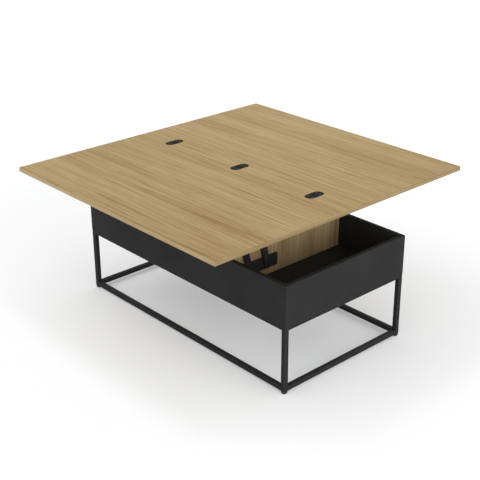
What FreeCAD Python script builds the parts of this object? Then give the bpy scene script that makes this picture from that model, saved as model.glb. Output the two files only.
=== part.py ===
import FreeCAD, Part
import math
import os

V = FreeCAD.Vector
ORIGIN = V(0, 0, 0)
ALONG = V(1, 0, 0)
ACROSS = V(0, 1, 0)
UP = V(0, 0, 1)

# Convertible coffee dining table, in millimetres, raised and folded out.
# X runs along the box, Y across it from the front to the back, Z up from the floor.

# Driving dimensions
base_length = 1100.0
base_width = 600.0
frame_height = 261.0
wall_height = 149.0
board = 16.0
lift_rise = 170.0
board_edge = 0.8

# Frame of square tube on plastic feet
tube = 18.0
tube_wall = 1.5
tube_corner = 2.0
foot_height = 9.0
foot_inset = 1.0
foot_corner = 2.0
foot_chamfer = 1.0
plug_depth = 14.0

# Box, dividers and the pads that the closed top rests on
closed_gap = 1.0
divider_offset = 247.0
divider_drop = 3.0
pad_radius = 6.0
pad_edge = 1.0
pad_spread = 200.0

# Leaves and the oval hinges let into them
leaf_gap = 0.8
hinge_spacing = 381.0
hinge_length = 79.0
hinge_width = 40.0
hinge_plate = 3.0
hinge_axis_rise = 0.4
barrel_radius = 2.0
barrel_length = 28.0
barrel_room = 0.4
knuckle_length = 10.0
knuckle_gap = 0.3
hinge_pin_radius = 1.0
hinge_screw_spread = 10.0
hinge_screw_setback = 20.0

# Lift mechanism on the outer face of each divider
plate_thickness = 3.0
plate_length = 191.0
plate_height = 50.0
plate_back_end = -45.0
plate_rise = 26.0
plate_corner = 5.0
pivot_rise = 15.0
back_pivot_inset = 53.0
pivot_spacing = 85.0
arm_width = 25.0
arm_thickness = 5.0
arm_edge = 0.6
washer_thickness = 1.0
spacer_thickness = 2.0
washer_radius = 9.0
pivot_radius = 4.0
pivot_head_radius = 7.0
pivot_head = 2.5
pivot_head_edge = 0.8
bracket_drop = 15.0
bracket_thickness = 3.0
bracket_depth = 30.0
bracket_lip = 12.0
bracket_flange = 32.0
bracket_bend = 1.5
bracket_front_end = -470.0
bracket_back_end = -60.0
bracket_shoulder = 18.0
bracket_slope = 24.0
bracket_corner = 6.0
stop_radius = 5.0
stop_reach = 26.0
stop_edge = 0.8

# Screws and dowels
wood_screw_radius = 2.0
wood_screw_head = 3.75
wood_screw_pan = 2.0
wood_screw_pan_edge = 0.8
wood_screw_tip = 2.0
hinge_screw_radius = 1.6
hinge_screw_head = 3.2
hinge_screw_length = 12.0
hinge_screw_sink = 0.1
plate_screw_length = 15.0
plate_screw_inset = 12.0
plate_screw_low = 8.0
bracket_screw_length = 13.0
bracket_screw_inset = 20.0
bracket_screw_setback = 18.0
bracket_screw_count = 5
frame_screw_length = 40.0
frame_screw_spread = 360.0
divider_screw_length = 45.0
divider_screw_spread = 220.0
socket_across = 2.2
socket_depth = 1.2
dowel_radius = 4.0
dowel_length = 28.0
dowel_bite = 10.0
dowel_spread = 400.0
dowel_side_spread = 150.0

# Where repeated screws and dowels stand, as shares of their spread
end_shares = (-1, 1)
row_shares = (-1, 0, 1)
dowel_shares = (-1, -1 / 3, 1 / 3, 1)

# Clearances
fit = 0.05
plug_fit = 0.05
pocket_fit = 0.2
open_pivot_fit = 0.3
stop_fit = 0.3
rest_fit = 0.3
slide_fit = 0.1
hole_end_fit = 0.5
overrun = 5.0

# Places that follow from the sizes above
half_length = base_length / 2
half_width = base_width / 2
leg_along = half_length - tube / 2
leg_across = half_width - tube / 2
inner_length = base_length - 2 * tube
inner_width = base_width - 2 * tube
room_length = base_length - 2 * board
room_width = base_width - 2 * board
rim_height = frame_height + wall_height
floor_top = frame_height + board
divider_top = rim_height - divider_drop
closed_underside = rim_height + closed_gap
open_underside = closed_underside + lift_rise
top_height = open_underside + board
leaf_edge = leaf_gap / 2
hinge_axis = top_height + hinge_axis_rise
pad_height = closed_underside - rest_fit - divider_top

# The arms are long enough, and lean far enough past upright, to carry the leaf half its width while it rises
plate_face = divider_offset + plate_thickness
arm_inner = plate_face + washer_thickness + slide_fit
arm_outer = arm_inner + arm_thickness
web_inner = arm_outer + slide_fit + spacer_thickness
web_outer = web_inner + bracket_thickness
plate_bottom = floor_top + plate_rise
base_pivot_height = plate_bottom + pivot_rise
back_pivot = plate_back_end - back_pivot_inset
front_pivot = back_pivot - pivot_spacing
open_rise = open_underside - bracket_drop - base_pivot_height
closed_rise = closed_underside - bracket_drop - base_pivot_height
arm_lean_run = (half_width - (open_rise ** 2 - closed_rise ** 2) / half_width) / 2
arm_reach = math.hypot(open_rise, arm_lean_run)
arm_lean = math.degrees(math.atan2(arm_lean_run, open_rise))
arm_swing = 90 + arm_lean - math.degrees(math.asin(closed_rise / arm_reach))
top_pivot_height = open_underside - bracket_drop


def block(x_span, y_span, z_span):
    """A rectangular block between the two ends given on each axis."""
    spans = (x_span, y_span, z_span)
    sizes = [span[1] - span[0] for span in spans]
    return Part.makeBox(*sizes, V(*[span[0] for span in spans]))


def board_block(x_span, y_span, z_span):
    """A board with softly rounded edges."""
    plain = block(x_span, y_span, z_span)
    return plain.makeFillet(board_edge, plain.Edges)


def rod(start, direction, radius, length):
    """A round rod from a point along a direction."""
    return Part.makeCylinder(radius, length, start, direction)


def rounded_outline(width, height, radius):
    """A closed outline of a rectangle with round corners, about the origin of the XY plane."""
    quarters = [(1, 1, 0), (-1, 1, 90), (-1, -1, 180), (1, -1, 270)]
    arcs = []
    edges = []
    for side_x, side_y, angle in quarters:
        centre = V(side_x * (width / 2 - radius), side_y * (height / 2 - radius), 0)
        arcs.append(Part.makeCircle(radius, centre, UP, angle, angle + 90))
    for arc, following in zip(arcs, arcs[1:] + arcs[:1]):
        edges.append(arc)
        end = arc.valueAt(arc.LastParameter)
        edges.append(Part.makeLine(end, following.valueAt(following.FirstParameter)))
    return Part.Wire(edges)


def stood_up(shape, place, lean):
    """A shape drawn flat in XY, leaned in its plane and stood up, so that x runs across, y up and z along."""
    stand = FreeCAD.Rotation(ACROSS, UP, ALONG, "XYZ")
    shape.Placement = FreeCAD.Placement(place, stand.multiply(FreeCAD.Rotation(UP, lean)))
    return shape


def square_tube(centre, direction, length):
    """A hollow square tube with round corners, from the middle of one end along a direction."""
    bore = tube - 2 * tube_wall
    outer = Part.Face(rounded_outline(tube, tube, tube_corner)).extrude(UP * length)
    inner = Part.Face(rounded_outline(bore, bore, tube_corner - tube_wall)).extrude(UP * length)
    solid = outer.cut(inner)
    solid.Placement = FreeCAD.Placement(centre, FreeCAD.Rotation(UP, direction))
    return solid


def turned(profile, place, direction):
    """A solid turned from a profile of (radius, distance) points, set at a place along a direction."""
    points = [V(radius, 0, distance) for radius, distance in profile]
    face = Part.Face(Part.makePolygon(points + points[:1]))
    solid = face.revolve(ORIGIN, UP, 360)
    solid.Placement = FreeCAD.Placement(place, FreeCAD.Rotation(UP, direction))
    return solid


def socket(place, direction, depth):
    """The six-sided driver recess in a screw's head."""
    reach = socket_across / 2 / math.cos(math.radians(30))
    turns = [math.radians(60 * number) for number in range(6)]
    corners = [V(reach * math.cos(turn), reach * math.sin(turn), 0) for turn in turns]
    solid = Part.Face(Part.makePolygon(corners + corners[:1])).extrude(UP * depth)
    solid.Placement = FreeCAD.Placement(place, FreeCAD.Rotation(UP, direction))
    return solid


def flat_screw(place, direction, radius, head, length, tip):
    """A countersunk screw whose flat head lies at the place, with its driver recess."""
    sink = head - radius
    profile = [(0, 0), (head, 0), (radius, sink), (radius, length - tip), (0, length)]
    return turned(profile, place, direction).cut(socket(place, direction, socket_depth))


def flat_screw_hole(place, direction, radius, head, length):
    """The countersunk hole that a flat screw goes into, a little larger all round and open above its head."""
    sink = head - radius
    profile = [(0, -overrun), (head + fit, -overrun), (head + fit, 0), (radius + fit, sink)]
    profile += [(radius + fit, length + hole_end_fit), (0, length + hole_end_fit)]
    return turned(profile, place, direction)


def pan_screw(place, direction, length):
    """A pan head screw whose head rests on the place, with its driver recess."""
    rim = wood_screw_head - wood_screw_pan_edge
    profile = [(0, -wood_screw_pan), (rim, -wood_screw_pan)]
    profile += [(wood_screw_head, wood_screw_pan_edge - wood_screw_pan), (wood_screw_head, 0)]
    profile += [(wood_screw_radius, 0)]
    profile += [(wood_screw_radius, length - wood_screw_tip), (0, length)]
    screw = turned(profile, place, direction)
    return screw.cut(socket(place - direction * wood_screw_pan, direction, socket_depth))


def pan_screw_hole(place, direction, length):
    """The straight hole for a pan head screw."""
    return rod(place, direction, wood_screw_radius + fit, length + hole_end_fit)


def mirrored(shape):
    """The same piece on the other side of the table."""
    return shape.mirror(ORIGIN, ALONG)


def leg(side_x, side_y):
    """A leg from the foot to the box."""
    foot_end = V(side_x * leg_along, side_y * leg_across, foot_height)
    return square_tube(foot_end, UP, frame_height - foot_height)


def long_rail(side_y, height):
    """A rail along the front or back, between two legs."""
    return square_tube(V(-inner_length / 2, side_y * leg_across, height), ALONG, inner_length)


def short_rail(side_x, height):
    """A rail at one end, between two legs."""
    return square_tube(V(side_x * leg_along, -inner_width / 2, height), ACROSS, inner_width)


def foot(side_x, side_y):
    """A plastic foot with a plug that fills the leg's end."""
    place = V(side_x * leg_along, side_y * leg_across, 0)
    width = tube - 2 * foot_inset
    pad = Part.Face(rounded_outline(width, width, foot_corner)).extrude(UP * foot_height)
    ground = [edge for edge in pad.Edges if edge.BoundBox.ZMax < foot_height / 2]
    pad = pad.makeChamfer(foot_chamfer, ground)
    plug_width = tube - 2 * tube_wall - 2 * plug_fit
    plug_outline = rounded_outline(plug_width, plug_width, tube_corner - tube_wall)
    plug = Part.Face(plug_outline).extrude(UP * plug_depth)
    plug.translate(UP * foot_height)
    solid = pad.fuse(plug).removeSplitter()
    solid.translate(place)
    return solid


def frame_screw_places():
    """Where a screw goes up through an upper rail into the wall above it: place and wall."""
    height = frame_height - tube
    spots = []
    for share in row_shares:
        spots.append((V(share * frame_screw_spread, -leg_across, height), "wall_front"))
        spots.append((V(share * frame_screw_spread, leg_across, height), "wall_back"))
    spots.append((V(-leg_along, 0, height), "wall_left"))
    spots.append((V(leg_along, 0, height), "wall_right"))
    return spots


def dowel_places():
    """Where a dowel joins the bottom board to a wall: the inner end of its axis, direction and wall."""
    height = frame_height + board / 2
    in_floor = dowel_length - dowel_bite
    spots = []
    for share in dowel_shares:
        for side, wall in ((-1, "wall_front"), (1, "wall_back")):
            start = V(share * dowel_spread, side * (room_width / 2 - in_floor), height)
            spots.append((start, ACROSS * side, wall))
    for share in end_shares:
        for side, wall in ((-1, "wall_left"), (1, "wall_right")):
            start = V(side * (room_length / 2 - in_floor), share * dowel_side_spread, height)
            spots.append((start, ALONG * side, wall))
    return spots


def dowel_hole(start, direction):
    """A dowel's hole, with room round it and past both ends."""
    length = dowel_length + 2 * hole_end_fit
    return rod(start - direction * hole_end_fit, direction, dowel_radius + fit, length)


def wall_run(length):
    """A straight wall board, outer face at y = 0, with mitred ends and a soft upper edge on both sides."""
    top = rim_height - board_edge
    corner_out = Part.makeCircle(board_edge, V(0, board_edge, top), ALONG, 90, 180)
    corner_in = Part.makeCircle(board_edge, V(0, board - board_edge, top), ALONG, 0, 90)
    lines = [
        Part.makeLine(V(0, 0, frame_height), V(0, 0, top)),
        Part.makeLine(V(0, board_edge, rim_height), V(0, board - board_edge, rim_height)),
        Part.makeLine(V(0, board, top), V(0, board, frame_height)),
        Part.makeLine(V(0, board, frame_height), V(0, 0, frame_height)),
    ]
    section = Part.Face(Part.Wire(Part.__sortEdges__(lines + [corner_out, corner_in])))
    half = length / 2
    run = section.extrude(ALONG * length)
    run.translate(ALONG * -half)
    outline = [V(-half, 0, 0), V(half, 0, 0), V(half - board, board, 0), V(board - half, board, 0)]
    mitre = Part.Face(Part.makePolygon(outline + outline[:1])).extrude(UP * (rim_height + overrun))
    return run.common(mitre)


def box_walls():
    """The four walls of the box, drilled for the frame's screws and the bottom board's dowels."""
    walls = {}
    sides = {"wall_front": (base_length, 0, half_width), "wall_right": (base_width, 90, half_length),
             "wall_back": (base_length, 180, half_width), "wall_left": (base_width, 270, half_length)}
    for name, (length, angle, distance) in sides.items():
        wall = wall_run(length)
        wall.translate(ACROSS * -distance)
        wall.rotate(ORIGIN, UP, angle)
        screws = [place for place, owner in frame_screw_places() if owner == name]
        holes = [pan_screw_hole(place, UP, frame_screw_length) for place in screws]
        holes += [dowel_hole(start, way) for start, way, owner in dowel_places() if owner == name]
        walls[name] = wall.cut(holes)
    return walls


def divider_screw_places(side_x):
    """Where the screws go up through the bottom board into a divider."""
    along = side_x * (divider_offset - board / 2)
    return [V(along, share * divider_screw_spread, frame_height) for share in row_shares]


def box_floor():
    """The bottom board, drilled for its dowels and for the dividers' screws."""
    along = (-room_length / 2, room_length / 2)
    across = (-room_width / 2, room_width / 2)
    floor = block(along, across, (frame_height, floor_top))
    holes = [dowel_hole(start, way) for start, way, _ in dowel_places()]
    for side_x in (-1, 1):
        holes += [divider_screw_hole(place) for place in divider_screw_places(side_x)]
    return floor.cut(holes)


def divider_screw_hole(place):
    """A countersunk hole up through the bottom board and into a divider."""
    return flat_screw_hole(place, UP, wood_screw_radius, wood_screw_head, divider_screw_length)


def divider():
    """The right divider, drilled for its screws from below and for the base plate's screws."""
    along = (divider_offset - board, divider_offset)
    across = (-room_width / 2, room_width / 2)
    solid = block(along, across, (floor_top, divider_top))
    holes = [divider_screw_hole(place) for place in divider_screw_places(1)]
    holes += [plate_screw_hole(place) for place in plate_screw_places()]
    return solid.cut(holes)


def rest_pads():
    """Soft round pads on the dividers' upper edges that the closed leaf comes down on."""
    pads = []
    for side_x in (-1, 1):
        for side_y in (-1, 1):
            place = V(side_x * (divider_offset - board / 2), side_y * pad_spread, divider_top)
            profile = [(0, 0), (pad_radius, 0), (pad_radius, pad_height - pad_edge)]
            profile += [(pad_radius - pad_edge, pad_height), (0, pad_height)]
            pads.append(turned(profile, place, UP))
    return Part.makeCompound(pads)


def plate_screw_places():
    """Where flat screws hold the right base plate to its divider, near the plate's corners."""
    ends = (plate_back_end - plate_screw_inset, plate_back_end - plate_length + plate_screw_inset)
    heights = (plate_bottom + plate_screw_low, plate_bottom + plate_height - plate_screw_low)
    return [V(plate_face, across, height) for across in ends for height in heights]


def plate_screw_hole(place):
    """A countersunk hole through the base plate into the divider."""
    return flat_screw_hole(place, -ALONG, wood_screw_radius, wood_screw_head, plate_screw_length)


def base_plate():
    """The right base plate: a flat steel plate with round corners, drilled for pivots, stop and screws."""
    outline = Part.Face(rounded_outline(plate_length, plate_height, plate_corner))
    centre = V(divider_offset, plate_back_end - plate_length / 2, plate_bottom + plate_height / 2)
    plate = stood_up(outline.extrude(UP * plate_thickness), centre, 0)
    holes = [plate_screw_hole(place) for place in plate_screw_places()]
    for across in (front_pivot, back_pivot):
        start = V(divider_offset - overrun, across, base_pivot_height)
        holes.append(rod(start, ALONG, pivot_radius + fit, plate_thickness + 2 * overrun))
    stop = stop_place()
    holes.append(rod(stop - ALONG * overrun, ALONG, stop_radius / 2 + fit, plate_thickness + 2 * overrun))
    return plate.cut(holes)


def stop_place():
    """The middle of the stop stud's foot, beside the leaning front arm, on the divider's face."""
    lean = math.radians(arm_lean)
    beside = arm_width / 2 + stop_radius + stop_fit
    across = front_pivot - stop_reach * math.sin(lean) - beside * math.cos(lean)
    height = base_pivot_height + stop_reach * math.cos(lean) - beside * math.sin(lean)
    return V(divider_offset, across, height)


def stop_stud():
    """The right stop stud: a neck riveted in the base plate and a head that the raised front arm leans on."""
    neck = stop_radius / 2
    reach = arm_outer - divider_offset
    rim = stop_radius - stop_edge
    profile = [(0, 0), (neck, 0), (neck, plate_thickness), (stop_radius, plate_thickness)]
    profile += [(stop_radius, reach - stop_edge), (rim, reach), (0, reach)]
    return turned(profile, stop_place(), ALONG)


def arm(pivot, top_fit):
    """A right arm: a flat bar with round ends, leaning from its base pivot to its top pivot."""
    half = arm_width / 2
    foot_end = Part.makeCircle(half, ORIGIN, UP, 180, 360)
    top_end = Part.makeCircle(half, ACROSS * arm_reach, UP, 0, 180)
    right_side = Part.makeLine(V(half, 0, 0), V(half, arm_reach, 0))
    left_side = Part.makeLine(V(-half, arm_reach, 0), V(-half, 0, 0))
    bar = Part.Face(Part.Wire([foot_end, right_side, top_end, left_side])).extrude(UP * arm_thickness)
    rims = [edge for edge in bar.Edges if edge.BoundBox.ZLength < arm_thickness / 2]
    bar = bar.makeFillet(arm_edge, rims)
    foot_hole = rod(UP * -overrun, UP, pivot_radius + fit, arm_thickness + 2 * overrun)
    top_hole = rod(V(0, arm_reach, -overrun), UP, pivot_radius + top_fit, arm_thickness + 2 * overrun)
    return stood_up(bar.cut([foot_hole, top_hole]), V(arm_inner, pivot, base_pivot_height), arm_lean)


def pivot_pin(start, direction, length):
    """A pivot pin with a round head: its shank runs back from the head's seat to its plain end."""
    rim = pivot_head_radius - pivot_head_edge
    profile = [(0, -pivot_head), (rim, -pivot_head), (pivot_head_radius, pivot_head_edge - pivot_head)]
    profile += [(pivot_head_radius, 0), (pivot_radius, 0), (pivot_radius, length), (0, length)]
    return turned(profile, start, direction)


def base_pivots():
    """The right base pins, headed outside the arms, with their ends flush in the base plate."""
    start = arm_outer + rest_fit
    length = start - divider_offset
    seats = [V(start, across, base_pivot_height) for across in (front_pivot, back_pivot)]
    return [pivot_pin(seat, -ALONG, length) for seat in seats]


def top_pivots():
    """The right top pins, headed inside the arms, with their ends in the bracket's web."""
    start = arm_inner - rest_fit
    length = web_outer - start
    seats = [V(start, across - arm_lean_run, top_pivot_height) for across in (front_pivot, back_pivot)]
    return [pivot_pin(seat, ALONG, length) for seat in seats]


def washer(place, thickness):
    """A plain washer round a pivot pin."""
    ring = rod(place, ALONG, washer_radius, thickness)
    return ring.cut(rod(place - ALONG * overrun, ALONG, pivot_radius + fit, thickness + 2 * overrun))


def base_washers():
    """The right washers between the base plate and the arms."""
    seats = [V(plate_face, across, base_pivot_height) for across in (front_pivot, back_pivot)]
    return [washer(seat, washer_thickness) for seat in seats]


def top_spacers():
    """The right spacers between the arms and the bracket's web."""
    along = arm_outer + slide_fit
    seats = [V(along, across - arm_lean_run, top_pivot_height) for across in (front_pivot, back_pivot)]
    return [washer(seat, spacer_thickness) for seat in seats]


def bracket_screw_places():
    """Where pan head screws go up through the right bracket's flange into the leaf."""
    along = web_inner + bracket_screw_setback
    first = bracket_front_end + bracket_screw_inset
    step = (bracket_back_end - bracket_front_end - 2 * bracket_screw_inset) / (bracket_screw_count - 1)
    height = open_underside - bracket_thickness
    return [V(along, first + step * number, height) for number in range(bracket_screw_count)]


def bracket_section():
    """The right bracket's bent section: a web beside the arms and a flange outwards under the leaf."""
    outer_bend = bracket_bend + bracket_thickness
    top = open_underside
    under = top - bracket_thickness
    bottom = top - bracket_depth
    tip = web_inner + bracket_flange
    bend_centre = V(web_inner + outer_bend, 0, top - outer_bend)
    outside = Part.makeCircle(outer_bend, bend_centre, -ACROSS, 90, 180)
    inside = Part.makeCircle(bracket_bend, bend_centre, -ACROSS, 90, 180)
    lines = [
        Part.makeLine(V(web_inner, 0, bottom), V(web_inner, 0, top - outer_bend)),
        Part.makeLine(V(web_inner + outer_bend, 0, top), V(tip, 0, top)),
        Part.makeLine(V(tip, 0, top), V(tip, 0, under)),
        Part.makeLine(V(tip, 0, under), V(web_outer + bracket_bend, 0, under)),
        Part.makeLine(V(web_outer, 0, under - bracket_bend), V(web_outer, 0, bottom)),
        Part.makeLine(V(web_outer, 0, bottom), V(web_inner, 0, bottom)),
    ]
    return Part.Face(Part.Wire(Part.__sortEdges__(lines + [outside, inside])))


def bracket_side():
    """The bracket's outline from the side: deep round the two pivots and shallow towards its ends."""
    top = open_underside
    shallow = top - bracket_lip
    deep = top - bracket_depth
    front_deep = front_pivot - arm_lean_run - bracket_shoulder
    back_deep = back_pivot - arm_lean_run + bracket_shoulder
    outline = [(bracket_front_end, top), (bracket_front_end, shallow), (front_deep - bracket_slope, shallow),
               (front_deep, deep), (back_deep, deep), (back_deep + bracket_slope, shallow),
               (bracket_back_end, shallow), (bracket_back_end, top)]
    points = [V(web_inner, across, height) for across, height in outline]
    prism = Part.Face(Part.makePolygon(points + points[:1])).extrude(ALONG * bracket_flange)
    corners = [edge for edge in prism.Edges if edge.BoundBox.XLength > bracket_flange / 2]
    lower = [edge for edge in corners if edge.BoundBox.ZMax < top - bracket_thickness]
    return prism.makeFillet(bracket_corner, lower)


def top_bracket():
    """The right top bracket: bent steel, cut to its side outline, drilled for pivots and screws."""
    length = bracket_back_end - bracket_front_end
    bar = bracket_section().extrude(ACROSS * length)
    bar.translate(ACROSS * bracket_front_end)
    solid = bar.common(bracket_side())
    starts = [place - UP * overrun for place in bracket_screw_places()]
    holes = [pan_screw_hole(start, UP, bracket_screw_length) for start in starts]
    for across in (front_pivot, back_pivot):
        start = V(web_inner - overrun, across - arm_lean_run, top_pivot_height)
        holes.append(rod(start, ALONG, pivot_radius + fit, bracket_thickness + 2 * overrun))
    return solid.cut(holes)


def hinge_screw_places(along, side_y):
    """Where the two flat screws of one hinge half lie."""
    across = side_y * hinge_screw_setback
    height = top_height - hinge_screw_sink
    return [V(along + share * hinge_screw_spread, across, height) for share in end_shares]


def hinge_screw_hole(place):
    """A countersunk hole for a hinge screw."""
    return flat_screw_hole(place, -UP, hinge_screw_radius, hinge_screw_head, hinge_screw_length)


def half_oval(along, side_y, room, start, height, depth):
    """Half of a long oval, straight from a start line beside the seam and round at its far end."""
    half = hinge_width / 2 + room
    bend = hinge_length / 2 + room - half
    near = side_y * start
    far = side_y * bend
    right_seam, left_seam = V(along + half, near, height), V(along - half, near, height)
    right_bend, left_bend = V(along + half, far, height), V(along - half, far, height)
    tip = V(along, far + side_y * half, height)
    lines = [
        Part.makeLine(right_seam, right_bend),
        Part.Arc(right_bend, tip, left_bend).toShape(),
        Part.makeLine(left_bend, left_seam),
        Part.makeLine(left_seam, right_seam),
    ]
    return Part.Face(Part.Wire(lines)).extrude(UP * depth)


def hinge_half(along, side_y, knuckles):
    """One half of a hinge: a plate let into its leaf, with knuckles on the seam and room for the others."""
    base = top_height - hinge_plate
    reach = sorted((0, side_y * (barrel_radius + barrel_room)))
    half_room = barrel_length / 2 + knuckle_gap
    room = block((along - half_room, along + half_room), reach, (base, top_height))
    solids = [half_oval(along, side_y, 0, leaf_edge, base, hinge_plate).cut(room)]
    for low, high in knuckles:
        barrel = rod(V(along + low, 0, hinge_axis), ALONG, barrel_radius, high - low)
        web = block((along + low, along + high), reach, (base, top_height))
        solids += [barrel, web]
    solid = solids[0].fuse(solids[1:]).removeSplitter()
    holes = [hinge_screw_hole(place) for place in hinge_screw_places(along, side_y)]
    bore = rod(V(along - half_room, 0, hinge_axis), ALONG, hinge_pin_radius + fit, 2 * half_room)
    return solid.cut(holes + [bore])


def hinge_pin(along):
    """A hinge's pin, through all three knuckles."""
    return rod(V(along - barrel_length / 2, 0, hinge_axis), ALONG, hinge_pin_radius, barrel_length)


def hinges():
    """The three hinges: outer knuckles on the front halves, the middle one on the back halves."""
    outer = barrel_length / 2
    inner = knuckle_length / 2
    outer_knuckles = [(-outer, -inner - knuckle_gap), (inner + knuckle_gap, outer)]
    pieces = {}
    for name, along in hinge_places().items():
        pieces[f"hinge_{name}_front_half"] = hinge_half(along, -1, outer_knuckles)
        pieces[f"hinge_{name}_back_half"] = hinge_half(along, 1, [(-inner, inner)])
        pieces[f"hinge_{name}_pin"] = hinge_pin(along)
    return pieces


def hinge_places():
    """Where the hinges lie along the seam."""
    return {"left": -hinge_spacing, "middle": 0, "right": hinge_spacing}


def hinge_screws(side_y):
    """All the screws of the hinge halves on one side of the seam."""
    screws = []
    for along in hinge_places().values():
        for place in hinge_screw_places(along, side_y):
            screw = (place, -UP, hinge_screw_radius, hinge_screw_head, hinge_screw_length, hinge_screw_radius)
            screws.append(flat_screw(*screw))
    return Part.makeCompound(screws)


def leaf(side_y):
    """One leaf of the top, with its hinge pockets and screw holes."""
    span = sorted((side_y * leaf_edge, side_y * base_width))
    solid = board_block((-half_length, half_length), span, (open_underside, top_height))
    pocket_floor = top_height - hinge_plate
    cuts = []
    for along in hinge_places().values():
        cuts.append(half_oval(along, side_y, pocket_fit, -overrun, pocket_floor, hinge_plate + overrun))
        cuts += [hinge_screw_hole(place) for place in hinge_screw_places(along, side_y)]
    return solid.cut(cuts)


def front_leaf():
    """The leaf that the lift carries, drilled for the brackets' screws."""
    holes = [pan_screw_hole(place, UP, bracket_screw_length) for place in bracket_screw_places()]
    return leaf(-1).cut(holes + [mirrored(hole) for hole in holes])


def drilled_rail(rail):
    """An upper rail drilled for the screws that hold the box."""
    starts = [place - UP * overrun for place, _ in frame_screw_places()]
    return rail.cut([pan_screw_hole(start, UP, frame_screw_length) for start in starts])


def both_sides(solids):
    """A group of right pieces and the same pieces on the left."""
    return Part.makeCompound(solids + [mirrored(solid) for solid in solids])


nodes = {}
corners = {"front_left": (-1, -1), "front_right": (1, -1), "back_left": (-1, 1), "back_right": (1, 1)}
for corner, (side_x, side_y) in corners.items():
    nodes[f"leg_{corner}"] = leg(side_x, side_y)
    nodes[f"foot_{corner}"] = foot(side_x, side_y)

low_rail = foot_height + tube / 2
high_rail = frame_height - tube / 2
for side, sign in {"front": -1, "back": 1}.items():
    nodes[f"floor_rail_{side}"] = long_rail(sign, low_rail)
    nodes[f"upper_rail_{side}"] = drilled_rail(long_rail(sign, high_rail))
for side, sign in {"left": -1, "right": 1}.items():
    nodes[f"floor_rail_{side}"] = short_rail(sign, low_rail)
    nodes[f"upper_rail_{side}"] = drilled_rail(short_rail(sign, high_rail))

nodes.update(box_walls())
nodes["box_floor"] = box_floor()
nodes["floor_dowels"] = Part.makeCompound([
    rod(start, way, dowel_radius, dowel_length) for start, way, _ in dowel_places()])
nodes["frame_screws"] = Part.makeCompound([
    pan_screw(place, UP, frame_screw_length) for place, _ in frame_screw_places()])
nodes["rest_pads"] = rest_pads()
nodes["divider_screws"] = both_sides([
    flat_screw(place, UP, wood_screw_radius, wood_screw_head, divider_screw_length, wood_screw_tip)
    for place in divider_screw_places(1)])

pairs = {
    "divider": divider(),
    "base_plate": base_plate(),
    "stop_stud": stop_stud(),
    "front_arm": arm(front_pivot, open_pivot_fit),
    "back_arm": arm(back_pivot, fit),
    "top_bracket": top_bracket(),
    "base_pivots": Part.makeCompound(base_pivots()),
    "top_pivots": Part.makeCompound(top_pivots()),
}
for name, solid in pairs.items():
    nodes[f"{name}_right"] = solid
    nodes[f"{name}_left"] = mirrored(solid)
nodes["base_pivot_washers"] = both_sides(base_washers())
nodes["top_pivot_spacers"] = both_sides(top_spacers())
nodes["base_plate_screws"] = both_sides([
    flat_screw(place, -ALONG, wood_screw_radius, wood_screw_head, plate_screw_length, wood_screw_tip)
    for place in plate_screw_places()])
nodes["bracket_screws"] = both_sides([
    pan_screw(place, UP, bracket_screw_length) for place in bracket_screw_places()])

nodes["front_leaf"] = front_leaf()
nodes["back_leaf"] = leaf(1)
nodes.update(hinges())
nodes["hinge_screws_front"] = hinge_screws(-1)
nodes["hinge_screws_back"] = hinge_screws(1)

os.makedirs("parts", exist_ok=True)
for name, shape in nodes.items():
    shape.exportStep(f"parts/{name}.step")
print(f"{len(nodes)} nodes, arm {arm_reach:.2f} mm, lean {arm_lean:.2f} and swing {arm_swing:.2f} degrees")
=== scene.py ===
import math

import bpy
import numpy as np
from mathutils import Euler, Matrix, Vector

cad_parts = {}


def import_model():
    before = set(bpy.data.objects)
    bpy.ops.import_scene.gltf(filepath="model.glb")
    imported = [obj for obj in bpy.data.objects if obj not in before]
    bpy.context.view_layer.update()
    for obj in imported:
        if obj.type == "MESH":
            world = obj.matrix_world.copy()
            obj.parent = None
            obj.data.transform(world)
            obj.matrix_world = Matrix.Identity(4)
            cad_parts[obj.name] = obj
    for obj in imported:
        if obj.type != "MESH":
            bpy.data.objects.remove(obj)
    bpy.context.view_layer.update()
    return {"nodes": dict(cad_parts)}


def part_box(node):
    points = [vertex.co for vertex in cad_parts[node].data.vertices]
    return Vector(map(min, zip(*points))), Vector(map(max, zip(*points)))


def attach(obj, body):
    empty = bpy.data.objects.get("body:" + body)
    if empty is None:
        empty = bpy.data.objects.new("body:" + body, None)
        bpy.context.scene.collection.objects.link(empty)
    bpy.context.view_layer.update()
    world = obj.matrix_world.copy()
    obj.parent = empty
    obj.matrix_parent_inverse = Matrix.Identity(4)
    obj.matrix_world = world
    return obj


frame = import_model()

# Convertible coffee dining table, raised and folded out: finishes, welds, studio and camera for the model.
# Metres. X runs along the box, Y across it from the front to the back, Z up from the floor.

MM = 0.001
NODES = frame["nodes"]

# Camera, worked out from the photograph's straight edges: metres, degrees, and millimetres for the lens
CAMERA_PLACE = (2.5875, -2.3515, 1.884)
CAMERA_TURN = 47.725
CAMERA_DIP = 24.362
CAMERA_ROLL = -0.208
CAMERA_LENS = 75.588
CAMERA_SENSOR = 36.0

# Studio. The floor's share of plain white grows from its glow to its white over the fade, a distance that
# adds up how far a place lies past the frame's front and past its right side: painted light that thins the
# shadow there.
WORLD_LIGHT = 0.9
FLOOR_COLOUR = (0.963, 0.97, 0.977, 1.0)
FLOOR_GLOW = 0.24
FLOOR_PAINTED_WHITE = 0.95
FLOOR_PAINTED_LIGHT_FADE = (0.28, 0.48)
FLOOR_REACH = 60.0
KEY_LIGHT = {"turn": -45.0, "rise": 45.0, "spread": 40.0, "strength": 0.42}
SIDE_LIGHT = {"turn": 90.0, "rise": 14.0, "spread": 40.0, "strength": 1.4}

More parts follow.
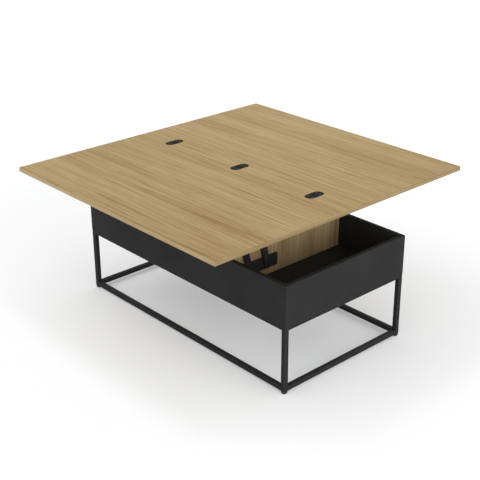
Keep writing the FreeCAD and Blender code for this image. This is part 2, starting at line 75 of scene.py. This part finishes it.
# Display colours of the finishes, from dark to pale, and where on a ramp they lie
OAK_STOPS = (0.1, 0.4, 0.6, 0.9)
LEAF_TONES = ((129, 102, 57), (158, 132, 85), (168, 143, 97), (183, 160, 116))
DIVIDER_TONES = ((122, 99, 66), (148, 126, 91), (159, 138, 103), (174, 155, 122))
OAK_PORE = (118, 92, 58)
OAK_END_BAND = (141, 131, 112)
# The colour of painted light on the oak's faces towards the front and the back
OAK_LONG_BAND_PAINTED_LIGHT = (195, 175, 146)
PAIR_STOPS = (0.3, 0.7)
BOARD_OUTSIDE = ((40, 40, 40), (50, 50, 50))
# The inside colour is painted light, and the rim colour below is painted shade
BOARD_INSIDE_PAINTED_LIGHT = ((44, 44, 43), (54, 54, 53))
BOARD_RIM_PAINTED_SHADE = (42, 42, 40)
COAT_TONES = ((37, 37, 37), (47, 47, 47))
# The rubbed colour of the coat is wear, and along the tubes' corners a painted highlight too
COAT_WORN_AND_HIGHLIT = (92, 92, 93)
LIFT_TONES = ((37, 37, 38), (50, 50, 51))
HINGE_TONES = ((17, 17, 17), (24, 24, 24))
# The rubbed colour of the paint is wear, and on the hinge barrels painted light too
PAINT_RUBBED_AND_LIT = (70, 70, 72)
PIVOT_TONES = ((34, 34, 36), (52, 52, 54))
SCREW_TONES = ((24, 24, 26), (36, 36, 38))
ZINC_TONES = ((170, 172, 174), (205, 206, 208))
NYLON_TONES = ((36, 36, 36), (52, 52, 52))
FOOT_TONES = ((24, 24, 24), (36, 36, 36))
RUBBER_TONES = ((30, 30, 30), (42, 42, 42))
BEECH_TONES = ((190, 160, 118), (212, 184, 144))

# Oak's noises: waves to the metre along, across and through the grain, then detail and its roughness
OAK_NOISES = {
    "sweep": ((1.3, 3.0, 3.0), 1.0, 0.5),
    "ripple": ((6.0, 14.0, 14.0), 1.0, 0.5),
    "lively": ((1.5, 5.0, 5.0), 2.0, 0.5),
    "band": ((0.8, 11.0, 11.0), 2.0, 0.5),
    "streak": ((2.0, 85.0, 85.0), 4.0, 0.65),
    "hair": ((5.0, 280.0, 280.0), 2.0, 0.6),
    "fibre": ((18.0, 700.0, 700.0), 2.0, 0.5),
    "pore": ((45.0, 1500.0, 1500.0), 1.0, 0.5),
}
# Where on their noises the oak turns lively, its pores open, and dark lines show, which keep to dark streaks
OAK_LIVELY_FADE = (0.3, 0.7)
OAK_PORE_FADE = (0.66, 0.76)
OAK_LINE_FADE = (0.57, 0.72)
OAK_DARK_FADE = (0.62, 0.42)
# How far the grain sweeps and ripples aside, where its noise starts, its usual tone, and the rise of painted
# light that makes that tone paler towards the back left
OAK_SWEEP = 25.0 * MM
OAK_RIPPLE = 3.0 * MM
OAK_START = 0.3
OAK_MIDDLE = 0.52
OAK_PAINTED_LIGHT_RISE = 0.07
OAK_END_SHARE = 0.3
OAK_LONG_PAINTED_LIGHT_SHARE = 0.35
OAK_PORE_SHARE = 0.3
OAK_LINE_SHARE = 0.5

# The other finishes' noises: waves to the metre, then detail
BOARD_GRIT = (900.0, 2.0)
BOARD_CLOUD = (7.0, 2.0)
COAT_PEBBLE = (1400.0, 1.0)
COAT_CLOUD = (16.0, 2.0)
COAT_RUB = (40.0, 2.0)
PAINT_DRAWN = ((500.0, 60.0, 60.0), 2.0)
PAINT_CLOUD = (24.0, 2.0)
PAINT_RUB = (60.0, 1.0)
PLATE_MARKS = ((2600.0, 900.0, 900.0), 1.0)
PLATE_CLOUD = (180.0, 2.0)
MOULD_CLOUD = (90.0, 2.0)
MOULD_DETAIL = 2.0

# How each finish feels: its roughness, its gloss, how deep its relief is and how strongly that shows
OAK_FEEL = {"roughness": 0.52, "gloss": 0.15, "relief": 0.12 * MM, "show": 0.6}
BOARD_FEEL = {"roughness": 0.5, "gloss": 0.03, "relief": 0.05 * MM, "show": 0.5}
COAT_FEEL = {"roughness": 0.46, "gloss": 0.04, "relief": 0.06 * MM, "show": 0.7}
PAINT_FEEL = {"roughness": 0.6, "gloss": 0.08, "relief": 0.03 * MM, "show": 0.5}
PLATE_FEEL = {"roughness": 0.36, "gloss": 0.5, "relief": 0.02 * MM, "show": 0.6}
MOULD_FEEL = {"gloss": 0.4, "relief": 0.05 * MM, "show": 0.6}

# Where finishes change: behind the box's outer faces (painted light inside), below its rim (painted shade),
# in from a tube's faces (wear and a painted highlight), above the leaves (wear and painted light)
BOARD_PAINTED_LIGHT_FADE = (-2.0 * MM, -14.0 * MM)
BOARD_RIM_SHADE_FADE = (-1.2 * MM, -0.4 * MM)
COAT_CORNER_FADE = (-2.0 * MM, -0.6 * MM)
BARREL_FADE = (0.2 * MM, 1.6 * MM)
# A face lies across an axis where this much of its normal runs along that axis
FACING = 0.7

# Where on its noise a coat is rubbed thin, and how much of the rubbed colour then shows: wear, which along
# the tubes' corners is also a painted highlight and on the hinge barrels also painted light
COAT_RUB_FADE = (0.35, 0.65)
COAT_WEAR_AND_HIGHLIGHT_SHARE = 0.35
PAINT_RUB_FADE = (0.7, 0.9)
PAINT_RUB_AND_LIGHT_SHARE = 0.3
BARREL_RUB_AND_LIGHT = 2.0

# Weld beads round the rails' ends. The margin makes their middle line smaller than the tube on each side,
# and they are set inward so that the frame's outer faces stay flush.
WELD_MARGIN = 0.8 * MM
WELD_SQUARE = 10
WELD_RADIUS = 1.3 * MM
WELD_RIPPLE = 0.15
WELD_RIPPLES = 12
WELD_INWARD = 0.75 * MM
WELD_STATIONS = 72
WELD_SIDES = 6


def shade(red, green, blue):
    """A display colour, each part 0 to 255, as the linear colour that a socket takes."""
    parts = [((part / 255 + 0.055) / 1.055) ** 2.4 for part in (red, green, blue)]
    return (*parts, 1.0)


class Wire:
    """A node's output. Arithmetic on it adds Math nodes to the same sheet."""

    def __init__(self, sheet, socket):
        self.sheet = sheet
        self.socket = socket

    def __add__(self, other):
        return self.sheet.math("ADD", self, other)

    def __sub__(self, other):
        return self.sheet.math("SUBTRACT", self, other)

    def __rsub__(self, other):
        return self.sheet.math("SUBTRACT", other, self)

    def __mul__(self, other):
        return self.sheet.math("MULTIPLY", self, other)

    def __gt__(self, other):
        return self.sheet.math("GREATER_THAN", self, other)

    def __abs__(self):
        return self.sheet.math("ABSOLUTE", self)

    __radd__ = __add__
    __rmul__ = __mul__

    def pick(self, low, high):
        """Low where this is 0, high where it is 1."""
        return low + (high - low) * self

    def fade(self, start, end):
        """A smooth step from 0 at start to 1 at end."""
        settings = {"interpolation_type": "SMOOTHSTEP"}
        return self.sheet.node("ShaderNodeMapRange", settings, {"Value": self, 1: start, 2: end})


class Sheet:
    """A node tree under construction, of a material or the world."""

    def __init__(self, owner):
        owner.use_nodes = True
        self.tree = owner.node_tree
        self.tree.nodes.clear()

    def node(self, kind, settings, sockets, output=0):
        """Adds a node: its settings first, a ramp's stops among them, then its sockets' values or links."""
        made = self.tree.nodes.new(kind)
        for name, value in settings.items():
            if name == "stops":
                self.set_stops(made.color_ramp, value)
            else:
                setattr(made, name, value)
        for key, value in sockets.items():
            if isinstance(value, Wire):
                self.tree.links.new(value.socket, made.inputs[key])
            else:
                made.inputs[key].default_value = value
        return Wire(self, made.outputs[output]) if made.outputs else None

    @staticmethod
    def set_stops(ramp, stops):
        """Puts a ramp's stops at (position, colour)."""
        for _ in stops[2:]:
            ramp.elements.new(0.5)
        for element, (position, colour) in zip(ramp.elements, stops):
            element.position = position
            element.color = colour

    def math(self, operation, *values):
        """A Math node on values or wires."""
        return self.node("ShaderNodeMath", {"operation": operation}, dict(enumerate(values)))

    def least(self, wires):
        """The least of several wires."""
        found = wires[0]
        for wire in wires[1:]:
            found = self.math("MINIMUM", found, wire)
        return found

    def axes(self, output):
        """The three parts of the piece's own coordinates or of its own normal."""
        whole = self.node("ShaderNodeTexCoord", {}, {}, output)
        return [self.node("ShaderNodeSeparateXYZ", {}, {0: whole}, part) for part in range(3)]

    def noise(self, parts, waves, detail, roughness=0.5):
        """Noise from 0 to 1, with so many waves to the metre along each part, or along all of them alike."""
        each = waves if isinstance(waves, tuple) else (waves, waves, waves)
        scaled = {number: part * scale for number, (part, scale) in enumerate(zip(parts, each))}
        vector = self.node("ShaderNodeCombineXYZ", {}, scaled)
        sockets = {"Vector": vector, "Scale": 1.0, "Detail": detail, "Roughness": roughness}
        return self.node("ShaderNodeTexNoise", {}, sockets)

    def ramp(self, value, positions, tones):
        """A colour that follows a value through display colours at these positions."""
        stops = [(position, shade(*tone)) for position, tone in zip(positions, tones)]
        return self.node("ShaderNodeValToRGB", {"stops": stops}, {0: value})

    def blend(self, share, low, high):
        """One colour over another."""
        return self.node("ShaderNodeMix", {"data_type": "RGBA"}, {0: share, 6: low, 7: high}, 2)

    def surface(self, colour, rougher, height, roughness, gloss, relief, show, metallic=0.0):
        """The tree's principled surface: rougher adds to its roughness, and its relief follows the height."""
        normal = self.node("ShaderNodeBump", {}, {"Height": height, "Distance": relief, "Strength": show})
        sockets = {"Base Color": colour, "Metallic": metallic, "Roughness": rougher + roughness,
                   "Specular IOR Level": gloss, "Normal": normal}
        made = self.node("ShaderNodeBsdfPrincipled", {}, sockets)
        self.node("ShaderNodeOutputMaterial", {}, {0: made})


def finish(name):
    """A new material and the sheet that its nodes go on."""
    material = bpy.data.materials.new(name)
    return material, Sheet(material)


def faces(normal, side):
    """1 on faces whose normal lies along a side's axis, and 0 elsewhere."""
    return abs(normal[side]) > FACING


def oak(name, tones, depth, face_axes, end_axes, end_side, end_tone):
    """Light natural oak: long fine streaks along the grain, calm in places, with thin dark lines and pores.

    The tones run from the darkest streak to the palest, and a greater depth gives stronger streaks.
    Painted light makes the tone grow slightly paler towards the back left. The axes are those along,
    across and through the grain, on the faces and on the end bands, whose normal lies along end_side.
    The end bands have a tone of their own, and painted light makes the long bands at the front and the back
    paler.
    """
    material, sheet = finish(name)
    place = sheet.axes("Object")
    normal = sheet.axes("Normal")
    end = faces(normal, end_side)
    lit_long_band = faces(normal, 1)
    straight = [end.pick(place[face], place[edge]) for face, edge in zip(face_axes, end_axes)]
    sweep = sheet.noise(straight, *OAK_NOISES["sweep"])
    ripple = sheet.noise(straight, *OAK_NOISES["ripple"])
    along, across, through = straight
    across = across + (sweep - 0.5) * OAK_SWEEP + (ripple - 0.5) * OAK_RIPPLE
    grain = (along, across, through + OAK_START)

    lively = sheet.noise(grain, *OAK_NOISES["lively"]).fade(*OAK_LIVELY_FADE)
    band = sheet.noise(grain, *OAK_NOISES["band"])
    streak = sheet.noise(grain, *OAK_NOISES["streak"])
    hair = sheet.noise(grain, *OAK_NOISES["hair"])
    fibre = sheet.noise(grain, *OAK_NOISES["fibre"])
    pore = sheet.noise(grain, *OAK_NOISES["pore"]).fade(*OAK_PORE_FADE)
    line = hair.fade(*OAK_LINE_FADE) * streak.fade(*OAK_DARK_FADE) * lively

    broad = (band - 0.5) * 0.7 + (streak - 0.5) * lively.pick(1.0, 1.4)
    fine = (hair - 0.5) + (fibre - 0.5) * 0.5
    # Painted light: the tone grows paler towards the back left, across every oak piece alike.
    rise = (place[1] - place[0]) * OAK_PAINTED_LIGHT_RISE
    tone = end.pick(rise + OAK_MIDDLE, end_tone) + (broad + fine) * depth
    plain = sheet.ramp(tone, OAK_STOPS, tones)
    greyed = sheet.blend(end * OAK_END_SHARE, plain, shade(*OAK_END_BAND))
    # Painted light: faces towards the front and the back are blended paler.
    lit_banded = sheet.blend(lit_long_band * OAK_LONG_PAINTED_LIGHT_SHARE, greyed, shade(*OAK_LONG_BAND_PAINTED_LIGHT))
    colour = sheet.blend(pore * OAK_PORE_SHARE + line * OAK_LINE_SHARE, lit_banded, shade(*OAK_PORE))
    height = streak * 0.3 + fibre * 0.4 - pore * 0.6
    sheet.surface(colour, (fibre - 0.5) * 0.16 + pore * 0.1, height, **OAK_FEEL)
    return material


def black_board():
    """Matt black laminate with a faint press grain, made paler inside the box by painted light and darker
    along its rim by painted shade.
    """
    material, sheet = finish("black_board")
    place = sheet.axes("Object")
    _, (half_length, half_width, rim) = cad_box_of("wall_")
    outside = sheet.math("MAXIMUM", abs(place[0]) - half_length, abs(place[1]) - half_width)
    # Painted light: the faces inside the box are given a paler colour.
    inside = outside.fade(*BOARD_PAINTED_LIGHT_FADE)
    # Painted shade: a darker, rougher band along the rim, under the raised top.
    band = (place[2] - rim).fade(*BOARD_RIM_SHADE_FADE)
    grit = sheet.noise(place, *BOARD_GRIT)
    cloud = sheet.noise(place, *BOARD_CLOUD)
    tone = cloud * 0.6 + grit * 0.4
    outer = sheet.ramp(tone, PAIR_STOPS, BOARD_OUTSIDE)
    lit_inner = sheet.ramp(tone, PAIR_STOPS, BOARD_INSIDE_PAINTED_LIGHT)
    colour = sheet.blend(band, sheet.blend(inside, outer, lit_inner), shade(*BOARD_RIM_PAINTED_SHADE))
    rougher = (cloud - 0.5) * 0.12 + (grit - 0.5) * 0.12 + band * 0.15
    sheet.surface(colour, rougher, grit, **BOARD_FEEL)
    return material


def powder_coat():
    """Fine matt black powder coat on steel tube, slightly pebbled, and paler along the tubes' corners, as
    wear and as a painted highlight.
    """
    material, sheet = finish("powder_coat")
    place = sheet.axes("Object")
    leg = middle("leg_back_right")
    heights = [middle(name)[2] for name in ("floor_rail_right", "upper_rail_right")]
    to_leg = [abs(abs(place[axis]) - leg[axis]) for axis in (0, 1)]
    to_rail = [abs(place[2] - height) for height in heights]
    corner = (sheet.least(to_leg + to_rail) - tube_half()).fade(*COAT_CORNER_FADE)
    rubbed_and_lit = corner * sheet.noise(place, *COAT_RUB).fade(*COAT_RUB_FADE)
    pebble = sheet.noise(place, *COAT_PEBBLE)
    cloud = sheet.noise(place, *COAT_CLOUD)
    plain = sheet.ramp(cloud * 0.5 + pebble * 0.5, PAIR_STOPS, COAT_TONES)
    # Wear and a painted highlight: the tubes' corners are blended paler.
    colour = sheet.blend(rubbed_and_lit * COAT_WEAR_AND_HIGHLIGHT_SHARE, plain, shade(*COAT_WORN_AND_HIGHLIT))
    sheet.surface(colour, (pebble - 0.5) * 0.2 - rubbed_and_lit * 0.08, pebble, **COAT_FEEL)
    return material


def satin_steel(name, tones, wear_and_light):
    """Satin black paint on pressed steel, paler where its marks say: worn spots, which on the hinge barrels
    also stand as painted light.
    """
    material, sheet = finish(name)
    place = sheet.axes("Object")
    drawn = sheet.noise(place, *PAINT_DRAWN)
    cloud = sheet.noise(place, *PAINT_CLOUD)
    rubbed_and_lit = wear_and_light(sheet, place) * cloud
    plain = sheet.ramp(drawn * 0.5 + cloud * 0.5, PAIR_STOPS, tones)
    # Wear, and on the hinge barrels painted light too: the marked places are blended paler.
    colour = sheet.blend(rubbed_and_lit * PAINT_RUB_AND_LIGHT_SHARE, plain, shade(*PAINT_RUBBED_AND_LIT))
    sheet.surface(colour, (drawn - 0.5) * 0.15 - rubbed_and_lit * 0.1, drawn, **PAINT_FEEL)
    return material


def even_wear(sheet, place):
    """Small worn spots, scattered evenly."""
    return sheet.noise(place, *PAINT_RUB).fade(*PAINT_RUB_FADE)


def barrel_wear_and_light(sheet, place):
    """Wear on the hinge barrels, which stand above the leaves, made strong so that it also paints light over
    the barrels' shade.
    """
    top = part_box("front_leaf")[1][2]
    return (place[2] - top).fade(*BARREL_FADE) * BARREL_RUB_AND_LIGHT


def plated(name, tones, shine):
    """Turned and plated metal, with fine turning marks and uneven shine."""
    material, sheet = finish(name)
    place = sheet.axes("Object")
    marks = sheet.noise(place, *PLATE_MARKS)
    cloud = sheet.noise(place, *PLATE_CLOUD)
    colour = sheet.ramp(cloud * 0.6 + marks * 0.4, PAIR_STOPS, tones)
    sheet.surface(colour, (cloud - 0.5) * 0.2, marks, metallic=shine, **PLATE_FEEL)
    return material


def moulded(name, tones, roughness, grain):
    """Plastic, rubber or plain wood with a fine surface grain of so many waves to the metre."""
    material, sheet = finish(name)
    place = sheet.axes("Object")
    grit = sheet.noise(place, grain, MOULD_DETAIL)
    cloud = sheet.noise(place, *MOULD_CLOUD)
    colour = sheet.ramp(cloud * 0.5 + grit * 0.5, PAIR_STOPS, tones)
    sheet.surface(colour, (grit - 0.5) * 0.15, grit, roughness=roughness, **MOULD_FEEL)
    return material


def middle(name):
    """The middle of a node's box."""
    return np.mean(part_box(name), axis=0).tolist()


def cad_box_of(start):
    """The low and high corner of all the nodes whose names start so."""
    boxes = np.array([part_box(name) for name in NODES if name.startswith(start)])
    return boxes[:, 0].min(axis=0).tolist(), boxes[:, 1].max(axis=0).tolist()


def tube_half():
    """Half the side of the frame's square tube."""
    low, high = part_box("leg_back_right")
    return (high[0] - low[0]) / 2


def dress(material, *starts):
    """Gives a material to every node whose name starts with one of these words."""
    for name, piece in NODES.items():
        if name.startswith(starts):
            piece.data.materials.clear()
            piece.data.materials.append(material)


def dress_table():
    """Each node's own finish."""
    leaf = oak("oak_leaf", LEAF_TONES, depth=1.0, face_axes=(0, 1, 2),
               end_axes=(1, 2, 0), end_side=0, end_tone=0.3)
    divider = oak("oak_divider", DIVIDER_TONES, depth=1.1, face_axes=(2, 1, 0),
                  end_axes=(1, 0, 2), end_side=2, end_tone=0.6)
    coat = powder_coat()
    lift = satin_steel("lift_black", LIFT_TONES, even_wear)
    hinge = satin_steel("hinge_black", HINGE_TONES, barrel_wear_and_light)
    pivot = plated("pivot_steel", PIVOT_TONES, shine=0.7)
    black_screw = plated("black_screw", SCREW_TONES, shine=0.4)
    zinc_screw = plated("zinc_screw", ZINC_TONES, shine=1.0)
    nylon = moulded("nylon", NYLON_TONES, roughness=0.5, grain=1500.0)
    foot = moulded("foot_plastic", FOOT_TONES, roughness=0.5, grain=1800.0)
    rubber = moulded("pad_rubber", RUBBER_TONES, roughness=0.7, grain=900.0)
    beech = moulded("beech", BEECH_TONES, roughness=0.6, grain=500.0)

    dress(leaf, "front_leaf", "back_leaf")
    dress(divider, "divider_left", "divider_right")
    dress(black_board(), "wall_", "box_floor")
    dress(coat, "leg_", "floor_rail", "upper_rail")
    dress(lift, "base_plate_left", "base_plate_right", "front_arm", "back_arm", "top_bracket", "stop_stud")
    dress(hinge, "hinge_left", "hinge_middle", "hinge_right")
    dress(pivot, "base_pivots", "top_pivots")
    dress(black_screw, "hinge_screws", "base_plate_screws", "bracket_screws")
    dress(zinc_screw, "frame_screws", "divider_screws")
    dress(nylon, "base_pivot_washers", "top_pivot_spacers")
    dress(foot, "foot_")
    dress(rubber, "rest_pads")
    dress(beech, "floor_dowels")
    weld_beads(coat)


def weld_beads(coat):
    """Rippled weld beads round the rails' ends, flush with the frame's outer faces.

    A bead is a ring of round section on the leg's face. Its middle line is a square with round corners: half
    the square's side over the n-th root of the sum of the n-th powers of the turn's cosine and sine, without
    sign. The section's radius swells with the sine, without sign, of a multiple of the turn.
    """
    turn = np.linspace(0, 2 * np.pi, WELD_STATIONS, endpoint=False)[:, None]
    angle = np.linspace(0, 2 * np.pi, WELD_SIDES, endpoint=False)[None, :]
    corners = np.abs(np.cos(turn)) ** WELD_SQUARE + np.abs(np.sin(turn)) ** WELD_SQUARE
    radius = WELD_RADIUS * (1 + WELD_RIPPLE * np.abs(np.sin(WELD_RIPPLES * turn)))
    half = tube_half() - WELD_MARGIN
    reach = half * corners ** (-1 / WELD_SQUARE) + radius * np.cos(angle)
    ring = reach * np.cos(turn), reach * np.sin(turn), radius * np.sin(angle)
    rails = [name for name in NODES if "_rail_" in name]
    points = np.concatenate([weld_ring(ring, name, end) for name in rails for end in (0, 1)])
    number = np.arange(len(points)).reshape(-1, WELD_STATIONS, WELD_SIDES)
    ahead = np.roll(number, -1, axis=1)
    quads = np.stack([number, ahead, np.roll(ahead, -1, axis=2), np.roll(number, -1, axis=2)], axis=-1)
    mesh = bpy.data.meshes.new("frame_welds")
    mesh.from_pydata(points.tolist(), [], quads.reshape(-1, 4).tolist())
    mesh.polygons.foreach_set("use_smooth", np.ones(len(mesh.polygons), dtype=bool))
    mesh.materials.append(coat)
    piece = link(bpy.data.objects.new("frame_welds", mesh))
    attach(piece, "base")


def weld_ring(ring, rail, end):
    """A ring, given as its inward, upward and lengthwise parts, set on a leg's face at one end of a rail."""
    box = np.array(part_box(rail))
    centre = box.mean(axis=0)
    along = int(np.argmax(box[1] - box[0]))
    side = 1 - along
    centre[along] = box[end][along]
    inward = -np.sign(centre[side])
    drop = WELD_INWARD if rail.startswith("upper") else 0.0
    points = np.empty(ring[0].shape + (3,))
    points[..., side] = centre[side] + inward * (ring[0] + WELD_INWARD)
    points[..., 2] = centre[2] + ring[1] - drop
    points[..., along] = centre[along] + (inward if along == 0 else -inward) * ring[2]
    return points.reshape(-1, 3)


def link(piece):
    """Puts an object into the scene."""
    bpy.context.scene.collection.objects.link(piece)
    return piece


def floor():
    """A plain pale floor under the object's soft shadow, which painted light fades to white in front and on
    the right.
    """
    mesh = bpy.data.meshes.new("floor")
    side = FLOOR_REACH * np.array([-1.0, 1.0])
    across, along = np.meshgrid(side, side)
    corners = np.stack([across, along, np.zeros_like(across)], axis=-1).reshape(-1, 3)
    mesh.from_pydata(corners.tolist(), [], [(0, 1, 3, 2)])
    material, sheet = finish("floor")
    place = sheet.axes("Object")
    _, (half_length, half_width, _) = cad_box_of("leg_")
    to_right = sheet.math("MAXIMUM", place[0] - half_length, 0.0)
    to_front = sheet.math("MAXIMUM", -half_width - place[1], 0.0)
    # Painted light: the floor's shadow is whitened in front of the frame and on its right.
    glow = (to_right + to_front).fade(*FLOOR_PAINTED_LIGHT_FADE).pick(FLOOR_GLOW, FLOOR_PAINTED_WHITE)
    matt = sheet.node("ShaderNodeBsdfDiffuse", {}, {"Color": FLOOR_COLOUR})
    white = sheet.node("ShaderNodeEmission", {}, {"Strength": 1.0})
    lit = sheet.node("ShaderNodeMixShader", {}, {0: seen_directly(sheet) * glow, 1: matt, 2: white})
    clear = sheet.node("ShaderNodeBsdfTransparent", {}, {})
    under = sheet.node("ShaderNodeNewGeometry", {}, {}, "Backfacing")
    both = sheet.node("ShaderNodeMixShader", {}, {0: under, 1: lit, 2: clear})
    sheet.node("ShaderNodeOutputMaterial", {}, {0: both})
    mesh.materials.append(material)
    link(bpy.data.objects.new("floor", mesh))


def seen_directly(sheet):
    """1 for rays from the camera, or by way of gloss or glass, and 0 for rays that carry light."""
    rays = ("Is Camera Ray", "Is Glossy Ray", "Is Transmission Ray")
    camera, gloss, glass = [sheet.node("ShaderNodeLightPath", {}, {}, ray) for ray in rays]
    return (camera + gloss + glass) > 0.5


def world():
    """White all round to look at, and a softer white as light."""
    made = bpy.data.worlds.new("studio")
    bpy.context.scene.world = made
    sheet = Sheet(made)
    strength = seen_directly(sheet).pick(WORLD_LIGHT, 1.0)
    glow = sheet.node("ShaderNodeBackground", {}, {"Color": (1.0, 1.0, 1.0, 1.0), "Strength": strength})
    sheet.node("ShaderNodeOutputWorld", {}, {0: glow})


def soft_light(name, turn, rise, spread, strength):
    """A wide soft light from afar, turned from the front towards the right and so high above the floor."""
    lamp = bpy.data.lights.new(name, "SUN")
    lamp.angle = math.radians(spread)
    lamp.energy = strength
    piece = link(bpy.data.objects.new(name, lamp))
    piece.rotation_euler = (math.radians(90 - rise), 0, math.radians(turn))


def camera():
    """The camera, at the photograph's viewing angle."""
    made = bpy.data.cameras.new("camera")
    made.sensor_width = CAMERA_SENSOR
    made.lens = CAMERA_LENS
    piece = link(bpy.data.objects.new("camera", made))
    piece.location = CAMERA_PLACE
    level = Euler((math.radians(90 - CAMERA_DIP), 0, math.radians(CAMERA_TURN))).to_matrix()
    piece.rotation_euler = (level @ Matrix.Rotation(math.radians(CAMERA_ROLL), 3, "Z")).to_euler()
    bpy.context.scene.camera = piece


dress_table()
floor()
world()
soft_light("key", **KEY_LIGHT)
soft_light("side", **SIDE_LIGHT)
camera()
bpy.context.scene.view_settings.view_transform = "Standard"
